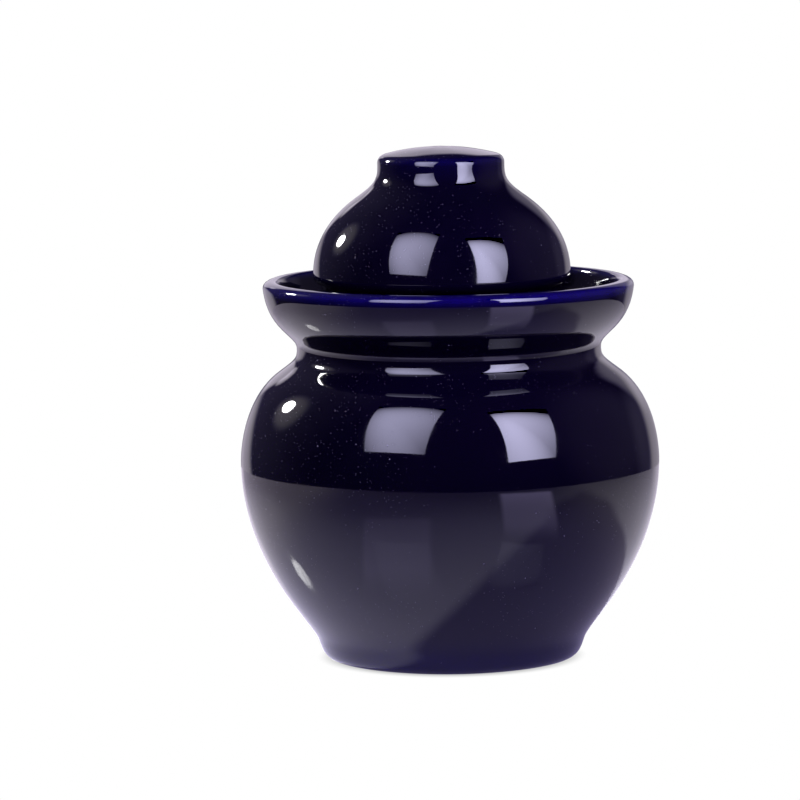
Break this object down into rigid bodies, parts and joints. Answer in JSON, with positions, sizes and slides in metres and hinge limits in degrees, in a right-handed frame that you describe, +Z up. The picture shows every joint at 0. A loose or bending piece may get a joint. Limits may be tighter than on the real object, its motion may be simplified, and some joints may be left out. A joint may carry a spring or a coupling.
{
  "type": "water seal pickle jar",
  "caption": "Round-bellied glazed jar with a water trough around its mouth, an inner lid and a domed lid that stands in the trough.",
  "frame": {"origin": "centre of the foot ring's flat underside, on the table", "axes": "+Z up along the jar's axis, -Y towards the viewer of the picture, +X to the viewer's right"},
  "size_m": [0.2058, 0.2058, 0.2519],
  "materials": {
    "jar_glaze": "deep cobalt gloss glaze, bare clay under the foot",
    "lid_glaze": "deep cobalt gloss glaze, bare clay under the skirt",
    "inner_lid_glaze": "deep cobalt gloss glaze, bare clay underneath"
  },
  "bodies": {
    "jar": {"jar_body": "jar_glaze"},
    "lid": {"lid": "lid_glaze"},
    "inner_lid": {"inner_lid": "inner_lid_glaze"}
  },
  "joints": [
    {"name": "lid_lift", "type": "slide", "parent": "jar", "child": "lid", "axis": [0, 0, 1], "range_m": [0, 0.15]},
    {"name": "inner_lid_lift", "type": "slide", "parent": "jar", "child": "inner_lid", "axis": [0, 0, 1], "range_m": [0, 0.06]}
  ],
  "couplings": [
    {"joint": "inner_lid_lift", "follows": "lid_lift", "ratio": 0.4}
  ]
}
